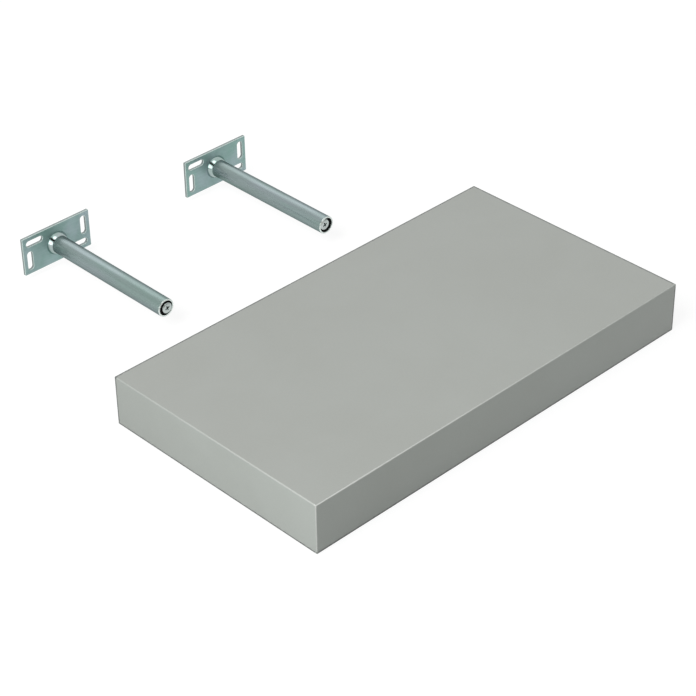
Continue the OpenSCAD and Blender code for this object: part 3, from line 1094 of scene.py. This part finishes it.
def make_wall_plate(side):
    """A stamped plate: its outline and slots are drawn as curves, with rounded edges."""
    label = SIDE_NAMES[side]
    low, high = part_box(f"{label}_wall_plate")
    size = high - low
    drawing = bpy.data.curves.new(f"{label}_plate_drawing", "CURVE")
    drawing.dimensions = "2D"
    drawing.fill_mode = "BOTH"
    for outline in plate_outlines(size.x, size.z):
        line = drawing.splines.new("POLY")
        line.points.add(len(outline) - 1)
        for point, (x, z) in zip(line.points, outline):
            point.co = (-side * x, -side * z, 0.0, 1.0)
        line.use_cyclic_u = True
    drawing.extrude = size.y / 2 - PLATE_EDGE_ROUND
    drawing.bevel_depth = PLATE_EDGE_ROUND
    drawing.bevel_resolution = PLATE_ROUND_STEPS
    drawing.offset = -PLATE_EDGE_ROUND
    sketch = bpy.data.objects.new(f"{label}_plate_sketch", drawing)
    collection.objects.link(sketch)
    graph = bpy.context.evaluated_depsgraph_get()
    mesh = bpy.data.meshes.new_from_object(sketch.evaluated_get(graph))
    bpy.data.objects.remove(sketch)
    mesh.transform(
        Matrix.Translation((low + high) / 2) @ Matrix.Rotation(math.radians(90), 4, "X")
    )
    bm = bmesh.new()
    bm.from_mesh(mesh)
    bpy.data.meshes.remove(mesh)
    bmesh.ops.remove_doubles(bm, verts=bm.verts[:], dist=SAME_POINT)
    plate = piece_from(bm, f"{label}_plate_stamped")
    part_flats_from_rounds(plate.data)
    settle(plate, zinc_plate, "wall_brackets", "zinc_plate", f"{label}_wall_plate")


def make_collar(side):
    """A low wall, a crowned flank and a rounded top, turned round the tube's axis."""
    label = SIDE_NAMES[side]
    x, z = rod_centre(side)
    low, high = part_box(f"{label}_collar")
    inner = (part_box(f"{label}_tube")[1].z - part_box(f"{label}_tube")[0].z) / 2
    outer = (high.z - low.z) / 2
    foot = -high.y
    lean, steep = math.radians(COLLAR_LEAN_FOOT), math.radians(COLLAR_LEAN_TOP)
    flank_radius = outer - COLLAR_CROWN * math.cos(lean)
    flank_depth = foot + COLLAR_WALL - COLLAR_CROWN * math.sin(lean)
    # The top's arc carries on from the flank's end, so its centre lies on that end's radius
    between_centres = COLLAR_CROWN - COLLAR_TOP_ROUND
    top_radius = flank_radius + between_centres * math.cos(steep)
    top_depth = flank_depth + between_centres * math.sin(steep)
    flank = arc(
        flank_radius, flank_depth, COLLAR_CROWN, COLLAR_LEAN_FOOT, COLLAR_LEAN_TOP, CROWN_STEPS
    )
    top = arc(
        top_radius, top_depth, COLLAR_TOP_ROUND, COLLAR_LEAN_TOP, FORWARDS, COLLAR_TOP_STEPS
    )
    profile = [(inner, foot), (outer, foot)] + flank + top[1:]
    profile.append((inner, profile[-1][1]))
    collar = turned_piece(f"{label}_collar_turned", profile, x, z)
    finish = make_turned_zinc(
        f"{label}_zinc_collar", (x, 0.0, z), COLLAR_TONES, rough=0.15, pitch=0.35 * MM,
        depth=0.0005 * MM,
    )
    settle(collar, finish, "wall_brackets", "zinc_collar", f"{label}_collar")


def make_tube(side):
    label = SIDE_NAMES[side]
    x, z = rod_centre(side)
    low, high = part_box(f"{label}_tube")
    outer = (high.z - low.z) / 2
    inner = outer - TUBE_WALL
    foot, tip = -high.y, -low.y
    rim = arc(
        outer - TUBE_TIP_ROUND, tip - TUBE_TIP_ROUND, TUBE_TIP_ROUND, OUTWARDS, FORWARDS,
        TUBE_TIP_STEPS,
    )
    mouth = arc(
        inner + TUBE_MOUTH_ROUND, tip - TUBE_MOUTH_ROUND, TUBE_MOUTH_ROUND, FORWARDS, INWARDS,
        TUBE_MOUTH_STEPS,
    )
    profile = [(inner, foot), (outer, foot)] + rim + mouth
    tube = turned_piece(f"{label}_tube_drawn", profile, x, z)
    settle(tube, zinc_tube, "wall_brackets", "zinc_tube", f"{label}_tube")


def cross_cutter(x, z, face):
    """A tapered cross-shaped punch, turned as the recess is."""
    bm = bmesh.new()
    rings = []
    foot_length, foot_width = CROSS_LENGTH * CROSS_FOOT[0], CROSS_WIDTH * CROSS_FOOT[1]
    for depth, length, width in (
        (-CUTTER_PAST, CROSS_LENGTH, CROSS_WIDTH),
        (0.0, CROSS_LENGTH, CROSS_WIDTH),
        (CROSS_DEPTH, foot_length, foot_width),
    ):
        a, b = width / 2, length / 2
        corners = [(b, -a), (b, a), (a, a), (a, b), (-a, b), (-a, a), (-b, a), (-b, -a),
                   (-a, -a), (-a, -b), (a, -b), (a, -a)]
        turn = Matrix.Rotation(math.radians(CROSS_TURN), 2)
        ring = []
        for corner in corners:
            u, v = turn @ Vector(corner)
            ring.append(bm.verts.new((x + u, -face + depth, z + v)))
        rings.append(ring)
    for near, far in zip(rings, rings[1:]):
        for i in range(len(near)):
            j = (i + 1) % len(near)
            bm.faces.new((near[i], near[j], far[j], far[i]))
    bm.faces.new(rings[0])
    bm.faces.new(rings[-1])
    return piece_from(bm, "cross_cutter")


def make_tie_screw(side):
    """A long shank, a round head with a rounded rim, and a cross punched into its face."""
    label = SIDE_NAMES[side]
    x, z = screw_centre(side)
    low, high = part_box(f"{label}_tie_screw")
    head = (high.z - low.z) / 2
    shank = SHANK_DIAMETER / 2
    end, face = -high.y, -low.y
    seat = face - HEAD_HEIGHT
    profile = [(0.0, end), (shank - SHANK_END_ROUND, end), (shank, end + SHANK_END_ROUND)]
    profile += [(shank, seat), (head - HEAD_BACK_ROUND, seat), (head, seat + HEAD_BACK_ROUND)]
    profile += [(head - inwards, face - down) for inwards, down in HEAD_RIM]
    profile.append((0.0, face))
    screw = turned_piece(f"{label}_screw_turned", profile, x, z)
    cut_from(screw, [cross_cutter(x, z, face)])
    finish = make_turned_zinc(
        f"{label}_bright_screw", (x, 0.0, z), SCREW_TONES, rough=0.22, pitch=0.5 * MM,
        depth=0.004 * MM,
    )
    settle(screw, finish, f"{label}_tie_screw", "bright_screw", f"{label}_tie_screw")


for side in (LEFT, RIGHT):
    make_wall_plate(side)
    make_collar(side)
    make_tube(side)
    make_tie_screw(side)
    label = SIDE_NAMES[side]
    x, z = rod_centre(side)
    boss_finish = make_turned_zinc(
        f"{label}_turned_steel", (x, 0.0, z), TUBE_TONES, rough=0.3, pitch=0.6 * MM,
        depth=0.01 * MM,
    )
    give_finish(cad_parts[f"{label}_anchor_boss"], boss_finish)
    give_finish(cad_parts[f"{label}_end_bush"], black_nylon)


# Floor, light and camera


def seen_directly(tree):
    """1 for rays from the camera, and for those that metal and glass send on."""
    path = tree.nodes.new("ShaderNodeLightPath").outputs
    sight = sums(tree, "MAXIMUM", path["Is Camera Ray"], path["Is Glossy Ray"])
    return sums(tree, "MAXIMUM", sight, path["Is Transmission Ray"])


def make_floor():
    """A pale sheet that shows white but lights the part only as grey card does. It can be seen
    through from below."""
    bm = bmesh.new()
    bmesh.ops.create_grid(bm, x_segments=1, y_segments=1, size=FLOOR_SIZE)
    bmesh.ops.translate(bm, vec=(0, 0, BOARD_BOX[0].z - FLOOR_GAP), verts=bm.verts[:])
    floor = piece_from(bm, "studio_floor")
    material = bpy.data.materials.new("studio_floor")
    tree = clear_nodes(material)
    output = tree.nodes.new("ShaderNodeOutputMaterial")
    bounce, shade = (
        add_node(tree, "ShaderNodeBsdfDiffuse", {"Color": grey(level)}).outputs[0]
        for level in (FLOOR_ALBEDO, FLOOR_SHADE)
    )
    glow = add_node(tree, "ShaderNodeEmission", {"Strength": FLOOR_GLOW}).outputs[0]
    sheet = add_node(tree, "ShaderNodeAddShader", {0: shade, 1: glow}).outputs[0]
    lit = add_node(
        tree, "ShaderNodeMixShader", {0: seen_directly(tree), 1: bounce, 2: sheet}
    ).outputs[0]
    clear = tree.nodes.new("ShaderNodeBsdfTransparent").outputs[0]
    behind = tree.nodes.new("ShaderNodeNewGeometry").outputs["Backfacing"]
    surface = add_node(tree, "ShaderNodeMixShader", {0: behind, 1: lit, 2: clear}).outputs[0]
    tree.links.new(surface, output.inputs["Surface"])
    give_finish(floor, material)


def facing(tree, direction, towards, edge, core):
    """1 within a cone of directions, fading to 0 at its edge; both are half angles in degrees."""
    closeness = dot(tree, direction, Vector(towards).normalized())
    span = (math.cos(math.radians(edge)), math.cos(math.radians(core)))
    return remap(tree, closeness, span)


def make_world():
    """White to the eye, an even soft light on the part, and the studio's lights in metal."""
    world = bpy.data.worlds.new("studio")
    bpy.context.scene.world = world
    tree = clear_nodes(world)
    output = tree.nodes.new("ShaderNodeOutputWorld")
    direction = tree.nodes.new("ShaderNodeTexCoord").outputs["Generated"]
    level = 1.0
    for towards, edge, core, gain in STUDIO_LIGHTS:
        cone = facing(tree, direction, towards, edge, core)
        level = sums(tree, "MULTIPLY_ADD", cone, gain, level)
    across = dot(tree, direction, Vector(GAP_SIDE).normalized())
    edge, core = (math.sin(math.radians(angle)) for angle in GAP_WIDTH)
    gap = remap(tree, sums(tree, "ABSOLUTE", across), (core, edge), FALLING)
    gap = sums(tree, "MULTIPLY", gap, facing(tree, direction, GAP_DIRECTION, *GAP_REACH))
    level = sums(tree, "MULTIPLY", level, remap(tree, gap, WHOLE, (1.0, GAP_LEVEL)))
    light, seen, mirrored = (
        add_node(tree, "ShaderNodeBackground", {"Color": grey(1.0), "Strength": value}).outputs[0]
        for value in (AMBIENT, 1.0, level)
    )
    path = tree.nodes.new("ShaderNodeLightPath").outputs
    sky = add_node(
        tree, "ShaderNodeMixShader", {0: seen_directly(tree), 1: light, 2: seen}
    ).outputs[0]
    surface = add_node(
        tree, "ShaderNodeMixShader", {0: path["Is Glossy Ray"], 1: sky, 2: mirrored}
    ).outputs[0]
    tree.links.new(surface, output.inputs["Surface"])


def make_softbox():
    """The soft lamp. Metal shows the studio's lights instead, so its own mirror image is off."""
    lamp = bpy.data.lights.new("softbox", "AREA")
    lamp.shape = "DISK"
    lamp.size = SOFTBOX_DIAMETER
    lamp.energy = SOFTBOX_POWER
    softbox = bpy.data.objects.new("softbox", lamp)
    softbox.visible_glossy = False
    towards = Vector(SOFTBOX_DIRECTION).normalized()
    softbox.rotation_euler = towards.to_track_quat("Z", "Y").to_euler()
    softbox.location = BOARD_MIDDLE + SOFTBOX_DISTANCE * towards
    collection.objects.link(softbox)


def make_camera():
    """The camera, turned by azimuth, elevation and roll, then moved right, up and back."""
    azimuth, elevation = math.radians(CAMERA_AZIMUTH), math.radians(CAMERA_ELEVATION)
    roll = math.radians(CAMERA_ROLL)
    back = Vector(
        (
            math.sin(azimuth) * math.cos(elevation),
            -math.cos(azimuth) * math.cos(elevation),
            math.sin(elevation),
        )
    )
    level_right = Vector((math.cos(azimuth), math.sin(azimuth), 0))
    level_up = back.cross(level_right)
    right = math.cos(roll) * level_right + math.sin(roll) * level_up
    up = math.cos(roll) * level_up - math.sin(roll) * level_right
    place = BOARD_MIDDLE + CAMERA_RIGHT * right + CAMERA_UP * up + CAMERA_DISTANCE * back
    data = bpy.data.cameras.new("camera")
    data.sensor_width = SENSOR_WIDTH
    data.lens = FOCAL_PIXELS / PICTURE_PIXELS * SENSOR_WIDTH
    data.clip_start = CLIP_START
    data.clip_end = CLIP_END
    camera = bpy.data.objects.new("camera", data)
    turned = Matrix((right, up, back)).transposed().to_4x4()
    camera.matrix_world = Matrix.Translation(place) @ turned
    collection.objects.link(camera)
    bpy.context.scene.camera = camera


make_floor()
make_world()
make_softbox()
make_camera()
bpy.context.scene.view_settings.view_transform = "Standard"
